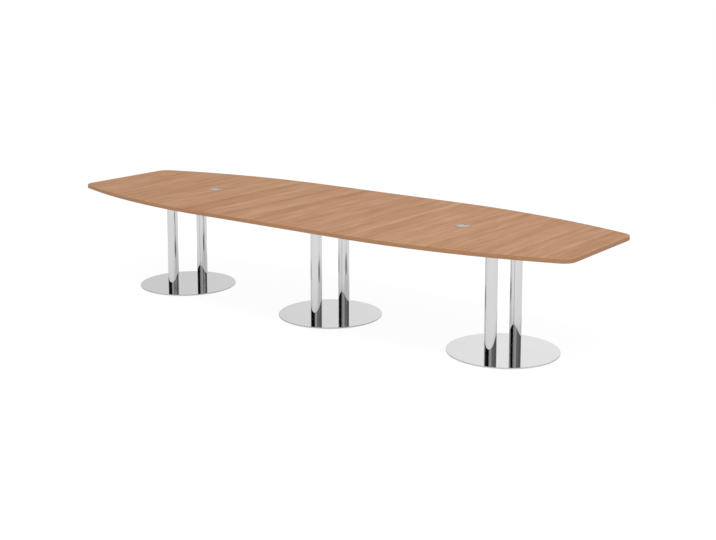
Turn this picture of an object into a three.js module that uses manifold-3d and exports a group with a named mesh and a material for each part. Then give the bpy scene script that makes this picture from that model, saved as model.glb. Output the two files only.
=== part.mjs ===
// Boat-shaped conference table: a wood-decor top in three sections on three pedestals.
// Each pedestal is a round weighted base, two chromed columns and a head plate under the top.
// Millimetres, +Z up. The origin is on the floor under the middle of the top, +X runs along the table.

import * as THREE from 'three';
import { mergeVertices } from 'three/addons/utils/BufferGeometryUtils.js';
import Module from 'manifold-3d';

// Top
const TABLE_LENGTH = 4000;
const TABLE_WIDTH = 1300;
const TABLE_HEIGHT = 745;
const END_WIDTH = 800; // across the ends, before the corners are rounded
const MIDDLE_LENGTH = 1200; // the section with straight sides
const CORNER_RADIUS = 90;
const TOP_THICKNESS = 25;
const EDGE_BAND = 2;

// Joints between the sections
const JOINT_GAP = 0.3;
const DOWEL_DIAMETER = 10;
const DOWEL_LENGTH = 50;
const DOWEL_CHAMFER = 1;
const DOWEL_INSET = 200; // from the straight side to each dowel
const RAIL_LENGTH = 800;
const RAIL_LEG = 40;
const RAIL_WALL = 4;
const RAIL_INSET = 350; // from the straight side to each rail's upright leg
const RAIL_SCREWS = 6;
const RAIL_SCREW_INSET = 30; // from a rail's end to its last screw

// Pedestals
const PEDESTAL_SPACING = 1350;
const BASE_DIAMETER = 700;
const COVER_SHEET = 1;
const COVER_EDGE_RADIUS = 1.5;
const SKIRT_CLEARANCE = 2; // from the floor to the cover's rim
const WEIGHT_THICKNESS = 6;
const COLUMN_DIAMETER = 76;
const COLUMN_WALL = 2;
const COLUMN_SPACING = 300;
const END_DISC = 8; // welded into each end of a column, and tapped
const HEAD_PLATE_THICKNESS = 6;
const HEAD_PLATE_WIDTH = 140;
const HEAD_PLATE_OVERHANG = 70; // past each column's axis
const HEAD_PLATE_CORNER = 15;
const HEAD_PLATE_SCREW_INSET = 18; // from the plate's edges
const HEAD_PLATE_SCREW_ROWS = 3;
const WOOD_SCREW_HOLE = 6;

// Countersunk machine screws that hold the columns
const SCREW_DIAMETER = 10;
const SCREW_HEAD_DIAMETER = 20;
const SCREW_LENGTH = 20;
const SCREW_SOCKET = 6; // across the flats
const SCREW_SOCKET_SIDES = 6;
const SCREW_SOCKET_DEPTH = 3;

// Levelling glides
const GLIDES_PER_BASE = 4;
const GLIDE_INSET = 60; // from the base's rim to the glide's axis
const GLIDE_DIAMETER = 34;
const GLIDE_FLANGE = 2;
const GLIDE_CHAMFER = 0.6;
const GLIDE_THREAD_DIAMETER = 20;
const GLIDE_SLOT_LENGTH = 14;
const GLIDE_SLOT_WIDTH = 2;
const GLIDE_SLOT_DEPTH = 2.5;

// Cable grommets
const GROMMET_OFFSET = 1050; // from the middle of the table
const GROMMET_HOLE = 80;
const GROMMET_DEPTH = 23; // of the sleeve, below the surface of the top
const GROMMET_WALL = 2.4;
const GROMMET_LIP = 5; // the flange, past the edge of the hole
const GROMMET_FLANGE = 3;
const GROMMET_RIM = 3.2; // width of the flange's ring around the lid
const GROMMET_LEDGE = 1; // thickness of the ledge that the lid lies on
const GROMMET_ROUND = 0.8;
const LID_RING_WALL = 2;
const LID_RING_DEPTH = 6;
const LID_NOTCH_WIDTH = 26;
const LID_NOTCH_START = 22; // from the lid's axis

// Clearances
const SEAT_GAP = 0.3; // between faces that rest on each other
const FIT_GAP = 0.3; // around a pin, thread or screw in its hole
const GLUE_LINE = 0.1; // between the edge band and the board
const CUT_MARGIN = 5; // by which a cutting tool runs past what it cuts

// Steps of the round shapes
const SIDE_STEPS = 14;
const CORNER_STEPS = 6;
const BASE_STEPS = 48;
const COLUMN_STEPS = 32;
const GROMMET_STEPS = 36;
const GLIDE_STEPS = 16;
const SCREW_STEPS = 12;
const ROUND_STEPS = 2;
const HOLE_CURVE_STEPS = 4;
const WOOD_SCREW_HOLE_STEPS = 8;

const WOOD_DECOR = { color: 0xbd9376, roughness: 0.45, metalness: 0 };
const EDGE_PLASTIC = { color: 0xac8161, roughness: 0.5, metalness: 0 };
const BEECH = { color: 0xd8b587, roughness: 0.7, metalness: 0 };
const CHROME = { color: 0xd9dadc, roughness: 0.08, metalness: 1 };
const BARE_STEEL = { color: 0x5a5c5f, roughness: 0.55, metalness: 1 };
const BLACK_PAINT = { color: 0x26272a, roughness: 0.6, metalness: 0.3 };
const ZINC = { color: 0xa9acb0, roughness: 0.4, metalness: 1 };
const BLACK_PLASTIC = { color: 0x1c1c1e, roughness: 0.6, metalness: 0 };
const SILVER_PLASTIC = { color: 0xbcbab6, roughness: 0.4, metalness: 0.3 };

// Heights, from the floor up
const weightBottom = GLIDE_FLANGE + SEAT_GAP;
const weightTop = weightBottom + WEIGHT_THICKNESS;
const coverTop = weightTop + SEAT_GAP + COVER_SHEET;
const columnBottom = coverTop + SEAT_GAP;
const topUnderside = TABLE_HEIGHT - TOP_THICKNESS;
const headPlateTop = topUnderside - SEAT_GAP;
const headPlateBottom = headPlateTop - HEAD_PLATE_THICKNESS;
const columnTop = headPlateBottom - SEAT_GAP;

// The side of an end section is an arc that starts level with the straight middle section.
const jointX = MIDDLE_LENGTH / 2;
const halfLength = TABLE_LENGTH / 2;
const sideRun = halfLength - jointX;
const sideDrop = (TABLE_WIDTH - END_WIDTH) / 2;
const sideRadius = (sideRun ** 2 + sideDrop ** 2) / (2 * sideDrop);
const sideCentreY = TABLE_WIDTH / 2 - sideRadius;
const cornerX = halfLength - CORNER_RADIUS;
const cornerY = sideCentreY + Math.sqrt((sideRadius - CORNER_RADIUS) ** 2 - (cornerX - jointX) ** 2);
const cornerTangent = Math.atan2(cornerY - sideCentreY, cornerX - jointX);

const boardInset = EDGE_BAND + GLUE_LINE;
const dowelY = TABLE_WIDTH / 2 - DOWEL_INSET;
const railY = TABLE_WIDTH / 2 - RAIL_INSET;
const columnPlaces = { front: -COLUMN_SPACING / 2, back: COLUMN_SPACING / 2 };

const QUARTER_TURN = Math.PI / 2;

const wasm = await Module();
wasm.setup();

// Booleans

function toSolid(geometry) {
  const bare = geometry.clone();
  bare.deleteAttribute('normal');
  bare.deleteAttribute('uv');
  const merged = mergeVertices(bare);
  const vertProperties = new Float32Array(merged.attributes.position.array);
  const triVerts = new Uint32Array(merged.index.array);
  return new wasm.Manifold(new wasm.Mesh({ numProp: 3, vertProperties, triVerts }));
}

function toGeometry(solid) {
  const mesh = solid.getMesh();
  const geometry = new THREE.BufferGeometry();
  geometry.setAttribute('position', new THREE.BufferAttribute(mesh.vertProperties, 3));
  geometry.setIndex(new THREE.BufferAttribute(mesh.triVerts, 1));
  geometry.computeVertexNormals();
  return geometry;
}

function cut(geometry, tools) {
  const solid = tools.reduce((left, tool) => left.subtract(toSolid(tool)), toSolid(geometry));
  return toGeometry(solid);
}

// Basic forms

// Turns a profile of [radius, height] pairs about the Z axis.
function revolve(profile, steps) {
  const points = profile.map(([radius, height]) => new THREE.Vector2(radius, height));
  return new THREE.LatheGeometry(points, steps).rotateX(QUARTER_TURN);
}

function closedRevolve(profile, steps) {
  return revolve([...profile, profile[0]], steps);
}

function post(radius, bottom, top, steps) {
  return revolve([[0, bottom], [radius, bottom], [radius, top], [0, top]], steps);
}

function extrude(shape, depth, curveSegments = HOLE_CURVE_STEPS) {
  return new THREE.ExtrudeGeometry(shape, { depth, curveSegments, bevelEnabled: false });
}

function arcPoints(x, y, radius, start, end, steps) {
  return new THREE.EllipseCurve(x, y, radius, radius, start, end).getPoints(steps);
}

// A quarter round from a wall at this radius over to a flat face at this height.
function roundedRim(radius, height, round) {
  const quarter = arcPoints(radius - round, height - round, round, 0, QUARTER_TURN, ROUND_STEPS);
  return quarter.map((point) => [point.x, point.y]);
}

function circleHole(x, y, diameter) {
  return new THREE.Path().absarc(x, y, diameter / 2, 0, 2 * Math.PI);
}

// Evenly spaced places from -reach to +reach.
function spread(count, reach) {
  return Array.from({ length: count }, (_, i) => -reach + (2 * reach * i) / (count - 1));
}

function addPiece(parent, name, geometry, finish) {
  const mesh = new THREE.Mesh(geometry, new THREE.MeshStandardMaterial(finish));
  mesh.name = name;
  parent.add(mesh);
  return mesh;
}

// Top sections

// Edge of the right-hand end section, moved inwards by inset, from its front joint to its back joint.
function endOutline(inset) {
  const radius = sideRadius - inset;
  const corner = CORNER_RADIUS - inset;
  const jointAngle = Math.acos(JOINT_GAP / 2 / radius);
  const arcs = [
    arcPoints(jointX, -sideCentreY, radius, -jointAngle, -cornerTangent, SIDE_STEPS),
    arcPoints(cornerX, -cornerY, corner, -cornerTangent, 0, CORNER_STEPS),
    arcPoints(cornerX, cornerY, corner, 0, cornerTangent, CORNER_STEPS),
    arcPoints(jointX, sideCentreY, radius, cornerTangent, jointAngle, SIDE_STEPS),
  ];
  const [frontSide, frontCorner, backCorner, backSide] = arcs;
  return [...frontSide, ...frontCorner.slice(1), ...backCorner, ...backSide.slice(1)];
}

function dowelHoles(x) {
  const radius = DOWEL_DIAMETER / 2 + FIT_GAP;
  const reach = DOWEL_LENGTH / 2 + FIT_GAP;
  return [-dowelY, dowelY].map((y) =>
    post(radius, -reach, reach, SCREW_STEPS).rotateY(QUARTER_TURN).translate(x, y, TOP_THICKNESS / 2));
}

function endPanel() {
  const shape = new THREE.Shape(endOutline(boardInset));
  const board = extrude(shape, TOP_THICKNESS);
  const grommetHole = post(GROMMET_HOLE / 2, -CUT_MARGIN, TOP_THICKNESS + CUT_MARGIN, GROMMET_STEPS);
  return cut(board, [grommetHole.translate(GROMMET_OFFSET, 0, 0), ...dowelHoles(jointX)]);
}

function endBand() {
  const outer = endOutline(0);
  const inner = endOutline(EDGE_BAND);
  return extrude(new THREE.Shape([...outer, ...inner.reverse()]), TOP_THICKNESS);
}

function middlePanel() {
  const length = MIDDLE_LENGTH - JOINT_GAP;
  const board = new THREE.BoxGeometry(length, TABLE_WIDTH - 2 * boardInset, TOP_THICKNESS);
  board.translate(0, 0, TOP_THICKNESS / 2);
  return cut(board, [...dowelHoles(-jointX), ...dowelHoles(jointX)]);
}

function middleBand() {
  const band = new THREE.BoxGeometry(MIDDLE_LENGTH - JOINT_GAP, EDGE_BAND, TOP_THICKNESS);
  return band.translate(0, 0, TOP_THICKNESS / 2);
}

function dowel() {
  const radius = DOWEL_DIAMETER / 2;
  const end = DOWEL_LENGTH / 2;
  const profile = [
    [0, -end],
    [radius - DOWEL_CHAMFER, -end],
    [radius, -end + DOWEL_CHAMFER],
    [radius, end - DOWEL_CHAMFER],
    [radius - DOWEL_CHAMFER, end],
    [0, end],
  ];
  return revolve(profile, SCREW_STEPS).rotateY(QUARTER_TURN);
}

// Steel angle along X. Its flat leg reaches outwards along +Y, with its upper face at height 0.
function jointRail() {
  const outline = [
    [0, 0],
    [RAIL_LEG, 0],
    [RAIL_LEG, -RAIL_WALL],
    [RAIL_WALL, -RAIL_WALL],
    [RAIL_WALL, -RAIL_LEG],
    [0, -RAIL_LEG],
  ];
  const shape = new THREE.Shape(outline.map(([y, z]) => new THREE.Vector2(y, z)));
  const rail = extrude(shape, RAIL_LENGTH).translate(0, 0, -RAIL_LENGTH / 2);
  const [acrossY, upZ, alongX] = [[0, 1, 0], [0, 0, 1], [1, 0, 0]].map((v) => new THREE.Vector3(...v));
  rail.applyMatrix4(new THREE.Matrix4().makeBasis(acrossY, upZ, alongX));
  const screwY = (RAIL_LEG + RAIL_WALL) / 2;
  const screwHole = (x) => {
    const hole = post(WOOD_SCREW_HOLE / 2, -RAIL_WALL - CUT_MARGIN, CUT_MARGIN, WOOD_SCREW_HOLE_STEPS);
    return hole.translate(x, screwY, 0);
  };
  return cut(rail, spread(RAIL_SCREWS, RAIL_LENGTH / 2 - RAIL_SCREW_INSET).map(screwHole));
}

function buildTop() {
  const top = new THREE.Group();
  top.position.z = topUnderside;
  addPiece(top, 'top_panel_middle', middlePanel(), WOOD_DECOR);
  const bandY = (TABLE_WIDTH - EDGE_BAND) / 2;
  addPiece(top, 'edge_band_front', middleBand(), EDGE_PLASTIC).position.y = -bandY;
  addPiece(top, 'edge_band_back', middleBand(), EDGE_PLASTIC).position.y = bandY;
  for (const [side, turn] of [['left', Math.PI], ['right', 0]]) {
    const section = new THREE.Group();
    section.rotation.z = turn;
    addPiece(section, `top_panel_${side}`, endPanel(), WOOD_DECOR);
    addPiece(section, `edge_band_${side}`, endBand(), EDGE_PLASTIC);
    top.add(section);
  }
  return top;
}

function buildSectionJoint(side, x) {
  const joint = new THREE.Group();
  joint.position.set(x, 0, topUnderside);
  for (const [place, sign, turn] of [['front', -1, Math.PI], ['back', 1, 0]]) {
    const pin = addPiece(joint, `joint_dowel_${side}_${place}`, dowel(), BEECH);
    pin.position.set(0, sign * dowelY, TOP_THICKNESS / 2);
    const rail = addPiece(joint, `joint_rail_${side}_${place}`, jointRail(), BLACK_PAINT);
    rail.position.set(0, sign * railY, -SEAT_GAP);
    rail.rotation.z = turn;
  }
  return joint;
}

// Pedestals

// Countersunk screw that points up, with its head's face at height 0.
function columnScrew() {
  const head = SCREW_HEAD_DIAMETER / 2;
  const shank = SCREW_DIAMETER / 2;
  const profile = [[0, 0], [head, 0], [shank, head - shank], [shank, SCREW_LENGTH], [0, SCREW_LENGTH]];
  const socketRadius = SCREW_SOCKET / 2 / Math.cos(Math.PI / SCREW_SOCKET_SIDES);
  const socket = post(socketRadius, -CUT_MARGIN, SCREW_SOCKET_DEPTH, SCREW_SOCKET_SIDES);
  return cut(revolve(profile, SCREW_STEPS), [socket]);
}

// The room that such a screw needs, with its clearance, open past both of its ends.
function screwRoom() {
  const head = SCREW_HEAD_DIAMETER / 2 + FIT_GAP;
  const shank = SCREW_DIAMETER / 2 + FIT_GAP;
  const end = SCREW_LENGTH + CUT_MARGIN;
  const profile = [
    [0, -CUT_MARGIN],
    [head, -CUT_MARGIN],
    [head, 0],
    [shank, head - shank],
    [shank, end],
    [0, end],
  ];
  return revolve(profile, SCREW_STEPS);
}

function baseScrewRooms() {
  return Object.values(columnPlaces).map((y) => screwRoom().translate(0, y, weightBottom + SEAT_GAP));
}

function glidePlaces() {
  const circle = BASE_DIAMETER / 2 - GLIDE_INSET;
  return Array.from({ length: GLIDES_PER_BASE }, (_, i) => {
    const angle = (Math.PI * (2 * i + 1)) / GLIDES_PER_BASE;
    return [circle * Math.cos(angle), circle * Math.sin(angle)];
  });
}

// Thin chromed sheet with a turned-down rim.
function baseCover() {
  const radius = BASE_DIAMETER / 2;
  const inner = radius - COVER_SHEET;
  const inside = coverTop - COVER_SHEET;
  const profile = [
    [0, inside],
    [inner, inside],
    [inner, SKIRT_CLEARANCE],
    [radius, SKIRT_CLEARANCE],
    ...roundedRim(radius, coverTop, COVER_EDGE_RADIUS),
    [0, coverTop],
  ];
  return cut(revolve(profile, BASE_STEPS), baseScrewRooms());
}

function baseWeight() {
  const radius = BASE_DIAMETER / 2 - COVER_SHEET - FIT_GAP;
  const holeRadius = GLIDE_THREAD_DIAMETER / 2 + FIT_GAP;
  const glideHoles = glidePlaces().map(([x, y]) =>
    post(holeRadius, weightBottom - CUT_MARGIN, weightTop + CUT_MARGIN, GLIDE_STEPS).translate(x, y, 0));
  return cut(post(radius, weightBottom, weightTop, BASE_STEPS), [...baseScrewRooms(), ...glideHoles]);
}

// Screw-in foot. Its thread fills the hole in the weight up to just under the cover.
function glide() {
  const flange = GLIDE_DIAMETER / 2;
  const thread = GLIDE_THREAD_DIAMETER / 2;
  const tip = weightTop - SEAT_GAP;
  const profile = [
    [0, 0],
    [flange - GLIDE_CHAMFER, 0],
    [flange, GLIDE_CHAMFER],
    [flange, GLIDE_FLANGE],
    [thread, GLIDE_FLANGE],
    [thread, tip],
    [0, tip],
  ];
  const slot = new THREE.BoxGeometry(GLIDE_SLOT_LENGTH, GLIDE_SLOT_WIDTH, 2 * GLIDE_SLOT_DEPTH);
  return cut(revolve(profile, GLIDE_STEPS), [slot]);
}

// Tube with a tapped disc in each end.
function column() {
  const outer = COLUMN_DIAMETER / 2;
  const inner = outer - COLUMN_WALL;
  const hole = SCREW_DIAMETER / 2 + FIT_GAP;
  const profile = [
    [outer, columnBottom],
    [outer, columnTop],
    [hole, columnTop],
    [hole, columnTop - END_DISC],
    [inner, columnTop - END_DISC],
    [inner, columnBottom + END_DISC],
    [hole, columnBottom + END_DISC],
    [hole, columnBottom],
  ];
  return closedRevolve(profile, COLUMN_STEPS);
}

function roundedRectangle(width, length, radius) {
  const x = width / 2 - radius;
  const y = length / 2 - radius;
  const corners = [[x, y], [-x, y], [-x, -y], [x, -y]];
  const points = corners.flatMap(([cx, cy], i) =>
    arcPoints(cx, cy, radius, i * QUARTER_TURN, (i + 1) * QUARTER_TURN, HOLE_CURVE_STEPS));
  return new THREE.Shape(points);
}

function headPlate() {
  const length = COLUMN_SPACING + 2 * HEAD_PLATE_OVERHANG;
  const shape = roundedRectangle(HEAD_PLATE_WIDTH, length, HEAD_PLATE_CORNER);
  const holeX = HEAD_PLATE_WIDTH / 2 - HEAD_PLATE_SCREW_INSET;
  const holeY = length / 2 - HEAD_PLATE_SCREW_INSET;
  for (const y of spread(HEAD_PLATE_SCREW_ROWS, holeY)) {
    shape.holes.push(circleHole(-holeX, y, WOOD_SCREW_HOLE), circleHole(holeX, y, WOOD_SCREW_HOLE));
  }
  const plate = extrude(shape, HEAD_PLATE_THICKNESS).translate(0, 0, headPlateBottom);
  const rooms = Object.values(columnPlaces).map((y) =>
    screwRoom().rotateX(Math.PI).translate(0, y, headPlateTop - SEAT_GAP));
  return cut(plate, rooms);
}

function buildPedestal(place, x) {
  const pedestal = new THREE.Group();
  pedestal.position.x = x;
  addPiece(pedestal, `base_cover_${place}`, baseCover(), CHROME);
  addPiece(pedestal, `base_weight_${place}`, baseWeight(), BARE_STEEL);
  addPiece(pedestal, `head_plate_${place}`, headPlate(), BLACK_PAINT);
  for (const [side, y] of Object.entries(columnPlaces)) {
    addPiece(pedestal, `column_${place}_${side}`, column(), CHROME).position.y = y;
    const baseScrew = addPiece(pedestal, `base_screw_${place}_${side}`, columnScrew(), ZINC);
    baseScrew.position.set(0, y, weightBottom + SEAT_GAP);
    const headScrew = addPiece(pedestal, `head_screw_${place}_${side}`, columnScrew(), ZINC);
    headScrew.position.set(0, y, headPlateTop - SEAT_GAP);
    headScrew.rotation.x = Math.PI;
  }
  glidePlaces().forEach(([glideX, glideY], i) => {
    addPiece(pedestal, `glide_${place}_${i + 1}`, glide(), BLACK_PLASTIC).position.set(glideX, glideY, 0);
  });
  return pedestal;
}

// Cable grommets

const flangeBottom = TABLE_HEIGHT + SEAT_GAP;
const flangeTop = flangeBottom + GROMMET_FLANGE;
const ledgeTop = flangeBottom + GROMMET_LEDGE;
const sleeveRadius = GROMMET_HOLE / 2 - FIT_GAP;
const boreRadius = sleeveRadius - GROMMET_WALL;
const flangeRadius = GROMMET_HOLE / 2 + GROMMET_LIP;
const lidSeatRadius = flangeRadius - GROMMET_RIM;

function grommetSleeve() {
  const bottom = TABLE_HEIGHT - GROMMET_DEPTH;
  const profile = [
    [boreRadius, bottom],
    [sleeveRadius, bottom],
    [sleeveRadius, flangeBottom],
    [flangeRadius, flangeBottom],
    ...roundedRim(flangeRadius, flangeTop, GROMMET_ROUND),
    [lidSeatRadius, flangeTop],
    [lidSeatRadius, ledgeTop],
    [boreRadius, ledgeTop],
  ];
  return closedRevolve(profile, GROMMET_STEPS);
}

// Lid flush with the flange, with a ring that centres it in the sleeve and a notch for cables at its back.
function grommetLid() {
  const radius = lidSeatRadius - FIT_GAP;
  const bottom = ledgeTop + SEAT_GAP;
  const ringOuter = boreRadius - FIT_GAP;
  const ringInner = ringOuter - LID_RING_WALL;
  const ringBottom = bottom - LID_RING_DEPTH;
  const profile = [
    [0, bottom],
    [ringInner, bottom],
    [ringInner, ringBottom],
    [ringOuter, ringBottom],
    [ringOuter, bottom],
    [radius, bottom],
    ...roundedRim(radius, flangeTop, GROMMET_ROUND),
    [0, flangeTop],
  ];
  const notchEnd = LID_NOTCH_WIDTH / 2;
  const notchCentre = LID_NOTCH_START + notchEnd;
  const outline = arcPoints(0, notchCentre, notchEnd, Math.PI, 2 * Math.PI, CORNER_STEPS);
  const reach = radius + CUT_MARGIN;
  outline.push(new THREE.Vector2(notchEnd, reach), new THREE.Vector2(-notchEnd, reach));
  const depth = LID_RING_DEPTH + GROMMET_FLANGE + 2 * CUT_MARGIN;
  const notch = extrude(new THREE.Shape(outline), depth).translate(0, 0, ringBottom - CUT_MARGIN);
  return cut(revolve(profile, GROMMET_STEPS), [notch]);
}

function buildGrommet(side, x) {
  const grommet = new THREE.Group();
  grommet.position.x = x;
  addPiece(grommet, `grommet_sleeve_${side}`, grommetSleeve(), SILVER_PLASTIC);
  addPiece(grommet, `grommet_lid_${side}`, grommetLid(), SILVER_PLASTIC);
  return grommet;
}

const table = new THREE.Group();
table.add(buildTop());
table.add(buildSectionJoint('left', -jointX), buildSectionJoint('right', jointX));
table.add(buildPedestal('left', -PEDESTAL_SPACING));
table.add(buildPedestal('middle', 0));
table.add(buildPedestal('right', PEDESTAL_SPACING));
table.add(buildGrommet('left', -GROMMET_OFFSET), buildGrommet('right', GROMMET_OFFSET));

export default table;
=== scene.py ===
"""Looks of a boat-shaped conference table: a wood-decor top on three chromed pedestals.

Everything is in metres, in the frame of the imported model. The origin is on the floor under the middle
of the top, +X runs along the table, +Z is up and the front is at -Y.
"""

import math

import bmesh
import bpy
from mathutils import Matrix, Vector


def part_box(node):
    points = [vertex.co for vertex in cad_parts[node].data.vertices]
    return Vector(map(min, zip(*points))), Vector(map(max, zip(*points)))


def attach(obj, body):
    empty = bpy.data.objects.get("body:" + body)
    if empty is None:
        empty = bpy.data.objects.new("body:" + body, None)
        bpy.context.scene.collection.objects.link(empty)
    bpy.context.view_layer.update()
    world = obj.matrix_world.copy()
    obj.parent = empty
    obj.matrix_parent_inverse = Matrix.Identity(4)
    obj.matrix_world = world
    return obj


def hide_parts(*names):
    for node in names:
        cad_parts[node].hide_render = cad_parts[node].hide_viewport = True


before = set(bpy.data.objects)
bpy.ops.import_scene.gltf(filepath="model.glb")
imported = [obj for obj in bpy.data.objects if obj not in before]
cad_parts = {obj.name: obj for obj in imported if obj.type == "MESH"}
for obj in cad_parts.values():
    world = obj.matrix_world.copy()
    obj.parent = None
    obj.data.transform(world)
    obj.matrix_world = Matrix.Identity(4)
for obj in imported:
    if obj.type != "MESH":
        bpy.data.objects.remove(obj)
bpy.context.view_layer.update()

PLACES = ("left", "middle", "right")
ENDS = ("left", "right")
ROWS = ("front", "back")

# Top
END_HALF_WIDTH = 0.4
CORNER_RADIUS = 0.09
GLUE_LINE = 0.0001
EDGE_ROUND = 0.0015

# Top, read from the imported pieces
UNDERSIDE, SURFACE = (corner.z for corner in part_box("top_panel_middle"))
MIDDLE_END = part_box("top_panel_middle")[1].x
END_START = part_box("top_panel_right")[0].x
JOINT_X = (MIDDLE_END + END_START) / 2
HALF_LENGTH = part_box("edge_band_right")[1].x
BAND_INSIDE, HALF_WIDTH = (corner.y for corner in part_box("edge_band_back"))
EDGE_BAND = HALF_WIDTH - BAND_INSIDE

# Cable grommets
GROMMET_HOLE = 0.08
GROMMET_WALL = 0.0024
GROMMET_RIM = 0.0032
GROMMET_LEDGE = 0.001
GROMMET_ROUND = 0.0008
FIT_GAP = 0.0003
LID_RING_WALL = 0.002
LID_NOTCH_WIDTH = 0.026
LID_NOTCH_START = 0.022
LID_CUT_MARGIN = 0.002

# Pedestals
COVER_SHEET = 0.001
COVER_EDGE_ROUND = 0.0015
COVER_EDGE_RING = 0.006
COLUMN_WALL = 0.002
COLUMN_EDGE_ROUND = 0.0006
END_DISC = 0.008
TAPPED_HOLE = 0.0106
GLIDES_PER_BASE = 4
GLIDE_FLANGE = 0.002
GLIDE_THREAD_RADIUS = 0.01
GLIDE_ROUND = 0.0006
GLIDE_SLOT_LENGTH = 0.014
GLIDE_SLOT_WIDTH = 0.002
GLIDE_SLOT_DEPTH = 0.0025

# Wood screws under the top
PLATE_SCREW_INSET = 0.018
PLATE_SCREW_ROWS = 3
RAIL_SCREWS = 6
RAIL_SCREW_INSET = 0.03
RAIL_WALL = 0.004
SCREW_HEAD_RADIUS = 0.0046
SCREW_HEAD_HEIGHT = 0.0026
SCREW_RADIUS = 0.002
SCREW_CORE_RADIUS = 0.0014
SCREW_PITCH = 0.002
SCREW_LENGTH = 0.02
SCREW_RECESS_ARMS = 4
SCREW_RECESS_SPAN = 0.0048
SCREW_RECESS_WIDTH = 0.0009
SCREW_RECESS_DEPTH = 0.0015

# Steps of the round shapes
SIDE_STEPS = 56
CORNER_STEPS = 24
BASE_STEPS = 160
COLUMN_STEPS = 96
GROMMET_STEPS = 96
GLIDE_STEPS = 40
SCREW_STEPS = 16
ROUND_STEPS = 6

# Shading: edges sharper than this stay sharp, and large faces stay flat
SHARP_ANGLE = math.radians(32)
FLAT_FACE_WEIGHT = 100

# Camera
CAMERA_PLACE = (5.0074, -6.3179, 2.3211)
CAMERA_DIP = math.radians(8.331)
CAMERA_HEADING = math.radians(37.065)
CAMERA_LENS = 61.42
CAMERA_SHIFT = -0.17

# Light and floor
KEY_PLACE = (6.5, -7.8, 18.4)
KEY_SIZE = 7.5
KEY_POWER = 1843
AMBIENT = 0.62
FLOOR_SIZE = 60.0
FLOOR_GREY = 0.8
FLOOR_GLOW = 1.05
FLOOR_SHADE = 0.12
MIRRORED_FLOOR_GLOW = 0.7
MIRRORED_FLOOR_SHADE = 0.5

# Room that the gloss shows. Its walls are (degrees from +X towards +Y, grey level). Their foot and the
# ceiling each begin and end at a height, the Z of a direction of length 1.
WALLS = [
    (-180, 0.006),
    (-86, 0.006),
    (-81, 0.39),
    (-40, 0.39),
    (-36, 0.162),
    (12, 0.162),
    (18, 0.12),
    (78, 0.12),
    (88, 0.95),
    (120, 0.92),
    (135, 0.71),
    (160, 0.57),
    (170, 0.006),
    (180, 0.006),
]
FOOT_HEIGHTS = (0.16, 0.08)
FOOT_GREY = 0.5
CEILING_HEIGHTS = (0.55, 0.8)
CEILING_GREY = 0.9


def srgb(*levels):
    """Linear colour of a colour written in levels from 0 to 255."""
    shares = [level / 255 for level in levels]
    linear = [s / 12.92 if s <= 0.04045 else ((s + 0.055) / 1.055) ** 2.4 for s in shares]
    return (*linear, 1.0)


def grey(level):
    """Linear grey."""
    return (level, level, level, 1.0)


# Materials

# Sockets of a Mix node that have the same name for each kind of data
MIX_FIRST_COLOUR = 6
MIX_SECOND_COLOUR = 7
MIX_COLOUR_RESULT = 2


def new_node(tree, kind, inputs=None, **settings):
    """Adds a node. An input that is a socket gets linked, and any other value is set."""
    made = tree.nodes.new("ShaderNode" + kind)
    for name, value in settings.items():
        setattr(made, name, value)
    for name, value in (inputs or {}).items():
        if isinstance(value, bpy.types.NodeSocket):
            tree.links.new(value, made.inputs[name])
        else:
            made.inputs[name].default_value = value
    return made


def object_space(tree, stretch=(1.0, 1.0, 1.0)):
    """Object coordinates, scaled by stretch along each axis."""
    place = new_node(tree, "TexCoord").outputs["Object"]
    return new_node(tree, "Mapping", {"Vector": place, "Scale": stretch}).outputs["Vector"]


def fade(tree, value, start, end):
    """0 where the value is at start or before it, and 1 where it is at end or past it."""
    inputs = {"Value": value, "From Min": start, "From Max": end}
    return new_node(tree, "MapRange", inputs).outputs["Result"]


def spread_to(tree, value, low, high):
    """A 0..1 value, spread from low to high."""
    inputs = {"Value": value, "To Min": low, "To Max": high}
    return new_node(tree, "MapRange", inputs).outputs["Result"]


def noise(tree, vector, scale, detail=2.0, low=0.3, high=0.7):
    """Noise with its usual spread, low to high, stretched to 0..1."""
    cloud = new_node(tree, "TexNoise", {"Vector": vector, "Scale": scale, "Detail": detail})
    return fade(tree, cloud.outputs["Fac"], low, high)


def weighted(tree, *terms):
    """Sum of values times their weights."""
    total = None
    for value, weight in terms:
        if total is None:
            step = new_node(tree, "Math", {0: value, 1: weight}, operation="MULTIPLY")
        else:
            step = new_node(tree, "Math", {0: value, 1: weight, 2: total}, operation="MULTIPLY_ADD")
        total = step.outputs[0]
    return total


def ramp(tree, value, stops):
    """Colour ramp through (position, colour) stops."""
    made = new_node(tree, "ValToRGB", {"Fac": value})
    elements = made.color_ramp.elements
    while len(elements) < len(stops):
        elements.new(1.0)
    for element, (position, colour) in zip(elements, stops):
        element.position = position
        element.color = colour
    return made.outputs["Color"]


def mix_colour(tree, share, first, second):
    """The first colour where share is 0, and the second where it is 1."""
    inputs = {"Factor": share, MIX_FIRST_COLOUR: first, MIX_SECOND_COLOUR: second}
    return new_node(tree, "Mix", inputs, data_type="RGBA").outputs[MIX_COLOUR_RESULT]


def mix_shader(tree, share, first, second):
    """A node with the first node's shader where share is 0, and the second's where it is 1."""
    inputs = {0: share, 1: first.outputs[0], 2: second.outputs[0]}
    return new_node(tree, "MixShader", inputs)


def bump(tree, height, distance, strength):
    """Normal of a surface with a fine relief."""
    inputs = {"Height": height, "Distance": distance, "Strength": strength}
    return new_node(tree, "Bump", inputs).outputs["Normal"]


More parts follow.
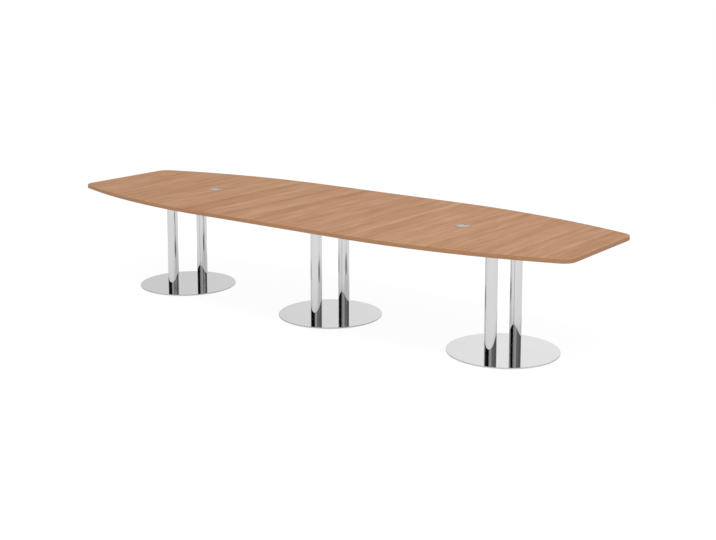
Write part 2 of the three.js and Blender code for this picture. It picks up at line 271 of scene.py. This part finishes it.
def make_finish(name, build, **sockets):
    """A material. build(tree) adds its nodes and returns what goes into the shader's sockets."""
    material = bpy.data.materials.new(name)
    material.use_nodes = True
    tree = material.node_tree
    shader = tree.nodes["Principled BSDF"]
    for socket, value in {**sockets, **build(tree)}.items():
        target = shader.inputs[socket.replace("_", " ")]
        if isinstance(value, bpy.types.NodeSocket):
            tree.links.new(value, target)
        else:
            target.default_value = value
    return material


def wood_decor(tree):
    """Printed decor with streaks that run across the table, growth lines and fine pores.

    The underside has a grey backing sheet.
    """
    along = object_space(tree, (1.0, 0.045, 1.0))
    broad = noise(tree, along, scale=5.0, detail=1.0)
    streak = noise(tree, along, scale=17.0, detail=2.0)
    short = noise(tree, object_space(tree, (1.0, 0.16, 1.0)), scale=26.0, detail=2.0)
    fine = noise(tree, along, scale=150.0, detail=3.0)
    growth = new_node(
        tree,
        "TexWave",
        {"Vector": along, "Scale": 1.7, "Distortion": 9.0, "Detail": 2.0, "Detail Scale": 1.3},
        wave_profile="SAW",
        bands_direction="X",
    ).outputs["Fac"]
    line = ramp(
        tree,
        growth,
        [
            (0.0, grey(0.0)),
            (0.1, grey(0.15)),
            (0.3, grey(0.5)),
            (0.74, grey(0.5)),
            (0.9, grey(1.0)),
            (1.0, grey(1.0)),
        ],
    )
    tone = weighted(tree, (broad, 0.12), (streak, 0.26), (short, 0.22), (line, 0.24), (fine, 0.2))
    decor = ramp(
        tree,
        tone,
        [
            (0.14, srgb(167, 121, 88)),
            (0.5, srgb(187, 141, 108)),
            (0.86, srgb(204, 161, 129)),
        ],
    )
    pore_space = object_space(tree, (1.0, 0.02, 1.0))
    pores = noise(tree, pore_space, scale=900.0, detail=1.0, low=0.58, high=0.72)
    printed = mix_colour(tree, weighted(tree, (pores, 0.3)), decor, srgb(140, 99, 72))
    relief = weighted(tree, (fine, 0.4), (pores, -1.0))
    cloud = noise(tree, object_space(tree), scale=60.0, detail=4.0)
    backing = ramp(tree, cloud, [(0.0, srgb(208, 207, 204)), (1.0, srgb(216, 215, 212))])
    side = new_node(tree, "TexCoord").outputs["Normal"]
    up = new_node(tree, "SeparateXYZ", {"Vector": side}).outputs["Z"]
    under = fade(tree, up, start=-0.4, end=-0.6)
    return {
        "Base Color": mix_colour(tree, under, printed, backing),
        "Roughness": spread_to(tree, fine, low=0.52, high=0.64),
        "Normal": bump(tree, relief, distance=0.0001, strength=0.25),
    }


def edge_plastic(tree):
    """Plastic edge in the colour of the decor, with streaks that run along it."""
    along = object_space(tree, (1.0, 1.0, 60.0))
    streak = noise(tree, along, scale=7.0, detail=3.0)
    fine = noise(tree, along, scale=30.0, detail=2.0)
    tone = weighted(tree, (streak, 0.6), (fine, 0.4))
    stops = [(0.2, srgb(172, 125, 89)), (0.8, srgb(187, 142, 106))]
    grain = noise(tree, object_space(tree), scale=1800.0)
    return {
        "Base Color": ramp(tree, tone, stops),
        "Roughness": spread_to(tree, fine, low=0.42, high=0.52),
        "Normal": bump(tree, grain, distance=0.00004, strength=0.3),
    }


def beech(tree):
    """Turned beech, with short darker flecks along X."""
    along = object_space(tree, (0.08, 1.0, 1.0))
    streak = noise(tree, along, scale=500.0, detail=3.0)
    fleck_space = object_space(tree, (0.2, 1.0, 1.0))
    flecks = noise(tree, fleck_space, scale=1500.0, detail=1.0, low=0.55, high=0.7)
    tone = weighted(tree, (streak, 0.7), (flecks, -0.4))
    stops = [(0.0, srgb(176, 132, 92)), (0.7, srgb(222, 188, 146))]
    return {
        "Base Color": ramp(tree, tone, stops),
        "Roughness": spread_to(tree, streak, low=0.6, high=0.75),
        "Normal": bump(tree, streak, distance=0.0001, strength=0.3),
    }


def mirror_chrome(tree):
    """Polished chrome with faint wiped-over haze."""
    haze = noise(tree, object_space(tree, (1.0, 1.0, 0.4)), scale=9.0, detail=4.0)
    specks = noise(tree, object_space(tree), scale=700.0, detail=1.0)
    tint = ramp(tree, haze, [(0.0, srgb(229, 229, 230)), (1.0, srgb(232, 232, 233))])
    dullness = weighted(tree, (haze, 0.8), (specks, 0.2))
    return {
        "Base Color": tint,
        "Roughness": spread_to(tree, dullness, low=0.012, high=0.035),
    }


def bare_steel(tree):
    """Hot-rolled steel with mill scale."""
    mill_scale = noise(tree, object_space(tree), scale=40.0, detail=6.0)
    lines = noise(tree, object_space(tree, (0.05, 1.0, 1.0)), scale=300.0, detail=2.0)
    tone = weighted(tree, (mill_scale, 0.7), (lines, 0.3))
    return {
        "Base Color": ramp(tree, tone, [(0.1, srgb(70, 72, 76)), (0.9, srgb(128, 130, 133))]),
        "Roughness": spread_to(tree, tone, low=0.45, high=0.7),
        "Normal": bump(tree, mill_scale, distance=0.0002, strength=0.2),
    }


def black_paint(tree):
    """Satin powder coat with orange peel."""
    peel = noise(tree, object_space(tree), scale=450.0, detail=1.0)
    dust = noise(tree, object_space(tree), scale=14.0, detail=4.0)
    return {
        "Base Color": ramp(tree, dust, [(0.1, srgb(33, 34, 36)), (0.9, srgb(48, 49, 51))]),
        "Roughness": spread_to(tree, dust, low=0.42, high=0.55),
        "Normal": bump(tree, peel, distance=0.0001, strength=0.2),
    }


def zinc(tree):
    """Bright zinc plating."""
    cloud = noise(tree, object_space(tree), scale=600.0, detail=3.0)
    return {
        "Base Color": ramp(tree, cloud, [(0.1, srgb(164, 168, 173)), (0.9, srgb(198, 200, 203))]),
        "Roughness": spread_to(tree, cloud, low=0.28, high=0.42),
        "Normal": bump(tree, cloud, distance=0.00003, strength=0.2),
    }


def glide_plastic(tree):
    """Black moulded plastic with a fine eroded texture."""
    texture = noise(tree, object_space(tree), scale=1500.0, detail=2.0)
    scuff = noise(tree, object_space(tree), scale=80.0, detail=4.0)
    return {
        "Base Color": ramp(tree, scuff, [(0.1, srgb(24, 24, 26)), (0.9, srgb(46, 46, 48))]),
        "Roughness": spread_to(tree, scuff, low=0.5, high=0.7),
        "Normal": bump(tree, texture, distance=0.0001, strength=0.25),
    }


def silver_plastic(tree):
    """Silver-lacquered plastic with fine metal flakes."""
    flakes = noise(tree, object_space(tree), scale=2500.0, detail=1.0)
    cloud = noise(tree, object_space(tree), scale=60.0, detail=2.0)
    tone = weighted(tree, (flakes, 0.6), (cloud, 0.4))
    return {
        "Base Color": ramp(tree, tone, [(0.1, srgb(173, 165, 156)), (0.9, srgb(195, 187, 178))]),
        "Roughness": spread_to(tree, tone, low=0.34, high=0.46),
        "Normal": bump(tree, flakes, distance=0.00002, strength=0.2),
    }


FINISHES = {
    "top_decor": make_finish("wood_decor", wood_decor, Specular_IOR_Level=0.04),
    "edge_band": make_finish("edge_plastic", edge_plastic, Specular_IOR_Level=0.15),
    "dowel_wood": make_finish("beech", beech),
    "chrome": make_finish("mirror_chrome", mirror_chrome, Metallic=1.0),
    "bare_steel": make_finish("bare_steel", bare_steel, Metallic=1.0),
    "black_paint": make_finish("black_paint", black_paint),
    "zinc_screw": make_finish("zinc", zinc, Metallic=1.0),
    "glide_plastic": make_finish("glide_plastic", glide_plastic),
    "grommet_silver": make_finish("silver_plastic", silver_plastic, Metallic=0.3),
}


# Mesh building


def centre_of(node):
    """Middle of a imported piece, seen from above."""
    low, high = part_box(node)
    return (low.x + high.x) / 2, (low.y + high.y) / 2


def arc(x, y, radius, start, end, steps):
    """Points on a circle about (x, y), from one angle to another."""
    angles = [start + (end - start) * i / steps for i in range(steps + 1)]
    return [(x + radius * math.cos(angle), y + radius * math.sin(angle)) for angle in angles]


def circle(x, y, radius, steps):
    """Points on a whole circle, each of them once."""
    return arc(x, y, radius, 0, 2 * math.pi, steps)[:-1]


def rounded_rim(radius, height, size):
    """A quarter round from a wall at this radius over to a flat face at this height."""
    return arc(radius - size, height - size, size, 0, math.pi / 2, ROUND_STEPS)


def skin(mesh, rows, closed_rows, closed_columns):
    """Faces between rows of vertices. A row with one vertex is a pole."""
    pairs = list(zip(rows, rows[1:]))
    if closed_columns:
        pairs.append((rows[-1], rows[0]))
    for lower, upper in pairs:
        count = max(len(lower), len(upper))
        for i in range(count if closed_rows else count - 1):
            j = (i + 1) % count
            below = lower[i % len(lower)], lower[j % len(lower)]
            above = upper[j % len(upper)], upper[i % len(upper)]
            mesh.faces.new(dict.fromkeys(below + above))


def lathe(profile, steps, place=(0.0, 0.0), closed=False):
    """Body of revolution from (radius, height) points, bottom to top on its outside."""
    mesh = bmesh.new()
    rows = []
    for radius, height in profile:
        points = circle(*place, radius, steps) if radius > 0 else [place]
        rows.append([mesh.verts.new((x, y, height)) for x, y in points])
    skin(mesh, rows, True, closed)
    return mesh


def sweep(outline_at, profile):
    """Strip along an outline. The profile's points are (inset, height), and both ends are closed."""
    mesh = bmesh.new()
    rows = []
    for inset, height in profile:
        rows.append([mesh.verts.new((x, y, height)) for x, y in outline_at(inset)])
    skin(mesh, rows, False, True)
    for end in (0, -1):
        mesh.faces.new([row[end] for row in rows])
    return mesh


def prism(outline, bottom, top, holes=()):
    """Straight walls on an outline and its holes, with flat faces below and above."""
    mesh = bmesh.new()
    rims = {bottom: [], top: []}
    for loop in (outline, *holes):
        rows = [[mesh.verts.new((x, y, height)) for x, y in loop] for height in (bottom, top)]
        skin(mesh, rows, True, False)
        for height, row in zip((bottom, top), rows):
            pairs = zip(row, row[1:] + row[:1])
            rims[height] += [mesh.edges.get(pair) for pair in pairs]
    for edges in rims.values():
        bmesh.ops.triangle_fill(mesh, edges=edges, use_beauty=True)
    return mesh


def block(size, centre):
    """Box with its faces along the axes."""
    mesh = bmesh.new()
    bmesh.ops.create_cube(mesh, matrix=Matrix.LocRotScale(Vector(centre), None, Vector(size)))
    return mesh


def to_object(mesh, name):
    """Object in the scene, which uses up the mesh."""
    bmesh.ops.recalc_face_normals(mesh, faces=mesh.faces)
    data = bpy.data.meshes.new(name)
    mesh.to_mesh(data)
    mesh.free()
    made = bpy.data.objects.new(name, data)
    bpy.context.scene.collection.objects.link(made)
    return made


def cut(mesh, tool):
    """The mesh with the tool taken out of it."""
    body, knife = to_object(mesh, "body"), to_object(tool, "knife")
    modifier = body.modifiers.new("cut", "BOOLEAN")
    modifier.operation = "DIFFERENCE"
    modifier.object = knife
    result = bmesh.new()
    result.from_object(body, bpy.context.evaluated_depsgraph_get())
    for used in (body, knife):
        data = used.data
        bpy.data.objects.remove(used)
        bpy.data.meshes.remove(data)
    return result


def turned(mesh, angle):
    """The mesh, turned about the vertical axis."""
    bmesh.ops.rotate(mesh, verts=mesh.verts, matrix=Matrix.Rotation(angle, 3, "Z"))
    return mesh


def copies(mesh, places):
    """One mesh with a copy at each place."""
    result = bmesh.new()
    data = bpy.data.meshes.new("copy")
    mesh.to_mesh(data)
    mesh.free()
    for place in places:
        start = len(result.verts)
        result.from_mesh(data)
        result.verts.ensure_lookup_table()
        bmesh.ops.translate(result, verts=result.verts[start:], vec=place)
    bpy.data.meshes.remove(data)
    return result


def add_piece(name, mesh, slot, body="root", node=None):
    """Makes the mesh a piece of the table with the finish of its slot."""
    piece = to_object(mesh, name)
    piece.data.materials.append(FINISHES[slot])
    piece.data.shade_smooth()
    piece.data.set_sharp_from_angle(angle=SHARP_ANGLE)
    normals = piece.modifiers.new("flat_walls", "WEIGHTED_NORMAL")
    normals.keep_sharp = True
    normals.weight = FLAT_FACE_WEIGHT
    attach(piece, body)
    if node:
        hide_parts(node)


# Top

# The sides of the end sections are arcs that run on from the straight sides of the middle section
side_run = HALF_LENGTH - JOINT_X
side_drop = HALF_WIDTH - END_HALF_WIDTH
side_radius = (side_run**2 + side_drop**2) / (2 * side_drop)
side_centre = HALF_WIDTH - side_radius
corner_x = HALF_LENGTH - CORNER_RADIUS
corner_y = side_centre + math.sqrt((side_radius - CORNER_RADIUS) ** 2 - (corner_x - JOINT_X) ** 2)
corner_tangent = math.atan2(corner_y - side_centre, corner_x - JOINT_X)


def end_outline(inset):
    """Edge of the right section, moved inwards by inset, from its front joint to its back joint."""
    radius = side_radius - inset
    corner = CORNER_RADIUS - inset
    joint_angle = math.acos((END_START - JOINT_X) / radius)
    front_side = arc(JOINT_X, -side_centre, radius, -joint_angle, -corner_tangent, SIDE_STEPS)
    front_corner = arc(corner_x, -corner_y, corner, -corner_tangent, 0, CORNER_STEPS)
    back_corner = arc(corner_x, corner_y, corner, 0, corner_tangent, CORNER_STEPS)
    back_side = arc(JOINT_X, side_centre, radius, corner_tangent, joint_angle, SIDE_STEPS)
    return [*front_side, *front_corner[1:], *back_corner, *back_side[1:]]


def front_outline(inset):
    """Front edge of the middle section, moved inwards by inset."""
    return [(x, inset - HALF_WIDTH) for x in (-MIDDLE_END, MIDDLE_END)]


def band_profile():
    """Section of the edge band, rounded at its two outer edges."""
    lower = arc(EDGE_ROUND, UNDERSIDE + EDGE_ROUND, EDGE_ROUND, -math.pi / 2, -math.pi, ROUND_STEPS)
    upper = arc(EDGE_ROUND, SURFACE - EDGE_ROUND, EDGE_ROUND, math.pi, math.pi / 2, ROUND_STEPS)
    return [(EDGE_BAND, UNDERSIDE), *lower, *upper, (EDGE_BAND, SURFACE)]


def middle_panel():
    """Board of the middle section, inside its edge bands."""
    half = HALF_WIDTH - EDGE_BAND - GLUE_LINE
    outline = [(-MIDDLE_END, -half), (MIDDLE_END, -half), (MIDDLE_END, half), (-MIDDLE_END, half)]
    return prism(outline, UNDERSIDE, SURFACE)


def end_panel():
    """Board of the right section, inside its edge band, with the hole for its grommet."""
    hole = circle(*centre_of("grommet_sleeve_right"), GROMMET_HOLE / 2, GROMMET_STEPS)
    return prism(end_outline(EDGE_BAND + GLUE_LINE), UNDERSIDE, SURFACE, [hole])


def build_top():
    """Three boards and the edge bands round them. The left end is the right one, turned."""
    add_piece("top_middle", middle_panel(), "top_decor", node="top_panel_middle")
    for side, angle in zip(ENDS, (math.pi, 0)):
        add_piece(f"top_{side}", turned(end_panel(), angle), "top_decor", node=f"top_panel_{side}")
        band = sweep(end_outline, band_profile())
        add_piece(f"edge_{side}", turned(band, angle), "edge_band", node=f"edge_band_{side}")
    for row, angle in zip(ROWS, (0, math.pi)):
        band = sweep(front_outline, band_profile())
        add_piece(f"edge_{row}", turned(band, angle), "edge_band", node=f"edge_band_{row}")


# Pedestals


def base_cover(node):
    """Thin sheet with a turned-down rim. A narrow ring next to its rounded edge keeps the rest flat."""
    low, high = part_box(node)
    radius = (high.x - low.x) / 2
    inner = radius - COVER_SHEET
    profile = [
        (0, high.z - COVER_SHEET),
        (inner, high.z - COVER_SHEET),
        (inner, low.z),
        (radius, low.z),
        *rounded_rim(radius, high.z, COVER_EDGE_ROUND),
        (radius - COVER_EDGE_RING, high.z),
        (0, high.z),
    ]
    return lathe(profile, BASE_STEPS, centre_of(node))


def column(node):
    """Tube with a tapped disc in each end."""
    low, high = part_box(node)
    outer = (high.x - low.x) / 2
    inner = outer - COLUMN_WALL
    hole = TAPPED_HOLE / 2
    upper_rim = rounded_rim(outer, high.z, COLUMN_EDGE_ROUND)
    lower_rim = [(radius, low.z + high.z - height) for radius, height in reversed(upper_rim)]
    profile = [
        *lower_rim,
        *upper_rim,
        (hole, high.z),
        (hole, high.z - END_DISC),
        (inner, high.z - END_DISC),
        (inner, low.z + END_DISC),
        (hole, low.z + END_DISC),
        (hole, low.z),
    ]
    return lathe(profile, COLUMN_STEPS, centre_of(node), closed=True)


def glide(node):
    """Screw-in foot with a screwdriver slot in its sole."""
    low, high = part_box(node)
    flange = (high.x - low.x) / 2
    x, y = centre_of(node)
    sole = arc(flange - GLIDE_ROUND, low.z + GLIDE_ROUND, GLIDE_ROUND, -math.pi / 2, 0, ROUND_STEPS)
    profile = [
        (0, low.z),
        *sole,
        (flange, low.z + GLIDE_FLANGE),
        (GLIDE_THREAD_RADIUS, low.z + GLIDE_FLANGE),
        (GLIDE_THREAD_RADIUS, high.z),
        (0, high.z),
    ]
    slot = block((GLIDE_SLOT_LENGTH, GLIDE_SLOT_WIDTH, 2 * GLIDE_SLOT_DEPTH), (x, y, low.z))
    return cut(lathe(profile, GLIDE_STEPS, (x, y)), slot)


def build_pedestals():
    """Bases, columns and glides. Each glide rides on its own body."""
    for place in PLACES:
        cover = f"base_cover_{place}"
        add_piece(f"base_{place}", base_cover(cover), "chrome", node=cover)
        for row in ROWS:
            tube = f"column_{place}_{row}"
            add_piece(f"tube_{place}_{row}", column(tube), "chrome", node=tube)
        for number in range(1, GLIDES_PER_BASE + 1):
            foot = f"glide_{place}_{number}"
            add_piece(f"foot_{place}_{number}", glide(foot), "glide_plastic", foot, foot)


# Wood screws under the top


def wood_screw():
    """Pan-head screw that points up, with the seat of its head at height 0 and a cross recess."""
    dome = arc(0, 0, 1, -math.pi / 2, 0, ROUND_STEPS)
    head = [(SCREW_HEAD_RADIUS * x, SCREW_HEAD_HEIGHT * y) for x, y in dome]
    turns = int((SCREW_LENGTH - 2 * SCREW_PITCH) / SCREW_PITCH)
    thread = []
    for turn in range(turns):
        height = SCREW_PITCH * (turn + 1)
        thread += [(SCREW_CORE_RADIUS, height), (SCREW_RADIUS, height + SCREW_PITCH / 2)]
    profile = [(0, head[0][1]), *head[1:], (SCREW_RADIUS, 0), *thread, (0, SCREW_LENGTH)]
    reach, half = SCREW_RECESS_SPAN / 2, SCREW_RECESS_WIDTH / 2
    arm = [(reach, -half), (reach, half), (half, half)]
    cross = []
    for _ in range(SCREW_RECESS_ARMS):
        cross += arm
        arm = [(-y, x) for x, y in arm]
    recess = prism(cross, -2 * SCREW_HEAD_HEIGHT, SCREW_RECESS_DEPTH - SCREW_HEAD_HEIGHT)
    return cut(lathe(profile, SCREW_STEPS), recess)


def spread(count, low, high):
    """Even steps from low to high."""
    return [low + (high - low) * i / (count - 1) for i in range(count)]


def plate_screws(node):
    """Places along the two long sides of a head plate."""
    low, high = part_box(node)
    inset = PLATE_SCREW_INSET
    rows = spread(PLATE_SCREW_ROWS, low.y + inset, high.y - inset)
    return [(x, y, low.z) for x in (low.x + inset, high.x - inset) for y in rows]


def rail_screws(node):
    """Places in the flat leg of a rail, which reaches away from the middle line."""
    low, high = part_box(node)
    inner, outer = (low.y, high.y) if low.y > 0 else (high.y, low.y)
    middle = (inner + math.copysign(RAIL_WALL, inner) + outer) / 2
    xs = spread(RAIL_SCREWS, low.x + RAIL_SCREW_INSET, high.x - RAIL_SCREW_INSET)
    return [(x, middle, high.z - RAIL_WALL) for x in xs]


def build_wood_screws():
    """One piece of screws for each head plate and each rail."""
    for place in PLACES:
        spots = plate_screws(f"head_plate_{place}")
        add_piece(f"plate_screws_{place}", copies(wood_screw(), spots), "zinc_screw")
    for side in ENDS:
        for row in ROWS:
            spots = rail_screws(f"joint_rail_{side}_{row}")
            add_piece(f"rail_screws_{side}_{row}", copies(wood_screw(), spots), "zinc_screw")


# Cable grommets


def grommet_ring(node):
    """Sleeve with a flange on the table and a ledge for the lid."""
    low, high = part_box(node)
    flange = (high.x - low.x) / 2
    sleeve = GROMMET_HOLE / 2 - FIT_GAP
    bore = sleeve - GROMMET_WALL
    seat = flange - GROMMET_RIM
    bottom = SURFACE + FIT_GAP
    profile = [
        (bore, low.z),
        (sleeve, low.z),
        (sleeve, bottom),
        (flange, bottom),
        *rounded_rim(flange, high.z, GROMMET_ROUND),
        (seat, high.z),
        (seat, bottom + GROMMET_LEDGE),
        (bore, bottom + GROMMET_LEDGE),
    ]
    return lathe(profile, GROMMET_STEPS, centre_of(node), closed=True)


def grommet_cap(node):
    """Lid with a centring ring below and a notch for cables at its back."""
    low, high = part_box(node)
    radius = (high.x - low.x) / 2
    # The notch takes away the back of the lid, so its middle is found from the front
    x, y = (low.x + high.x) / 2, low.y + radius
    ring = GROMMET_HOLE / 2 - 2 * FIT_GAP - GROMMET_WALL
    bottom = SURFACE + 2 * FIT_GAP + GROMMET_LEDGE
    profile = [
        (0, bottom),
        (ring - LID_RING_WALL, bottom),
        (ring - LID_RING_WALL, low.z),
        (ring, low.z),
        (ring, bottom),
        (radius, bottom),
        *rounded_rim(radius, high.z, GROMMET_ROUND),
        (0, high.z),
    ]
    half = LID_NOTCH_WIDTH / 2
    rounded_end = arc(x, y + LID_NOTCH_START + half, half, math.pi, 2 * math.pi, CORNER_STEPS)
    outline = [*rounded_end, (x + half, y + 2 * radius), (x - half, y + 2 * radius)]
    notch = prism(outline, low.z - LID_CUT_MARGIN, high.z + LID_CUT_MARGIN)
    return cut(lathe(profile, GROMMET_STEPS, (x, y)), notch)


def build_grommets():
    """Sleeves and lids. Each lid rides on its own body."""
    for side in ENDS:
        sleeve, lid = f"grommet_sleeve_{side}", f"grommet_lid_{side}"
        add_piece(f"grommet_ring_{side}", grommet_ring(sleeve), "grommet_silver", node=sleeve)
        add_piece(f"grommet_cap_{side}", grommet_cap(lid), "grommet_silver", lid, lid)


def finish_hidden_pieces():
    """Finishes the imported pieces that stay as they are."""
    slots = {
        "base_weight": "bare_steel",
        "head_plate": "black_paint",
        "joint_rail": "black_paint",
        "joint_dowel": "dowel_wood",
        "base_screw": "zinc_screw",
        "head_screw": "zinc_screw",
    }
    for name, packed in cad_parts.items():
        for start, slot in slots.items():
            if name.startswith(start):
                packed.material_slots[0].material = FINISHES[slot]


# Studio


def build_floor():
    """White floor that keeps a faint shadow."""
    half = FLOOR_SIZE / 2
    corners = [(-half, -half), (half, -half), (half, half), (-half, half)]
    mesh = bmesh.new()
    mesh.faces.new([mesh.verts.new((x, y, 0)) for x, y in corners])
    floor = to_object(mesh, "floor")
    material = bpy.data.materials.new("floor")
    material.use_nodes = True
    tree = material.node_tree
    tree.nodes.clear()
    path = new_node(tree, "LightPath")
    by_camera = path.outputs["Is Camera Ray"]
    strength = spread_to(tree, by_camera, MIRRORED_FLOOR_GLOW, FLOOR_GLOW)
    shade = spread_to(tree, by_camera, MIRRORED_FLOOR_SHADE, FLOOR_SHADE)
    glow = new_node(tree, "Emission", {"Color": grey(1.0), "Strength": strength})
    white = new_node(tree, "BsdfDiffuse", {"Color": grey(1.0)})
    pale = new_node(tree, "BsdfDiffuse", {"Color": grey(FLOOR_GREY)})
    by_gloss = path.outputs["Is Glossy Ray"]
    seen = new_node(tree, "Math", {0: by_camera, 1: by_gloss}, operation="MAXIMUM").outputs[0]
    shown = mix_shader(tree, shade, glow, white)
    look = mix_shader(tree, seen, pale, shown)
    new_node(tree, "OutputMaterial", {"Surface": look.outputs[0]})
    floor.data.materials.append(material)


def build_world():
    """Even light, a white background, and studio walls that only the gloss shows."""
    world = bpy.data.worlds.new("studio")
    bpy.context.scene.world = world
    world.use_nodes = True
    tree = world.node_tree
    tree.nodes.clear()
    direction = new_node(tree, "TexCoord").outputs["Generated"]
    around = new_node(tree, "TexGradient", {"Vector": direction}, gradient_type="RADIAL")
    stops = [((angle + 180) / 360, grey(level)) for angle, level in WALLS]
    wall = ramp(tree, around.outputs["Fac"], stops)
    height = new_node(tree, "SeparateXYZ", {"Vector": direction}).outputs["Z"]
    ceiling = fade(tree, height, *CEILING_HEIGHTS)
    foot = fade(tree, height, *FOOT_HEIGHTS)
    lower = mix_colour(tree, foot, wall, grey(FOOT_GREY))
    room = mix_colour(tree, ceiling, lower, grey(CEILING_GREY))
    mirrored = new_node(tree, "Background", {"Color": room})
    even = new_node(tree, "Background", {"Color": grey(1.0), "Strength": AMBIENT})
    white = new_node(tree, "Background", {"Color": grey(1.0)})
    path = new_node(tree, "LightPath")
    light = mix_shader(tree, path.outputs["Is Glossy Ray"], even, mirrored)
    look = mix_shader(tree, path.outputs["Is Camera Ray"], light, white)
    new_node(tree, "OutputWorld", {"Surface": look.outputs[0]})


def build_key_light():
    """Soft lamp that points at the origin."""
    light = bpy.data.lights.new("key", "AREA")
    light.energy = KEY_POWER
    light.size = KEY_SIZE
    key = bpy.data.objects.new("key", light)
    key.location = KEY_PLACE
    key.visible_glossy = False
    key.rotation_euler = (-Vector(KEY_PLACE)).to_track_quat("-Z", "Y").to_euler()
    bpy.context.scene.collection.objects.link(key)


def build_camera():
    """The photograph's view."""
    lens = bpy.data.cameras.new("camera")
    lens.lens = CAMERA_LENS
    lens.shift_y = CAMERA_SHIFT
    camera = bpy.data.objects.new("camera", lens)
    camera.location = CAMERA_PLACE
    camera.rotation_euler = (math.pi / 2 - CAMERA_DIP, 0, CAMERA_HEADING)
    bpy.context.scene.collection.objects.link(camera)
    bpy.context.scene.camera = camera


build_camera()
build_floor()
build_world()
build_key_light()
build_top()
build_pedestals()
build_wood_screws()
build_grommets()
finish_hidden_pieces()
bpy.context.scene.view_settings.view_transform = "Standard"
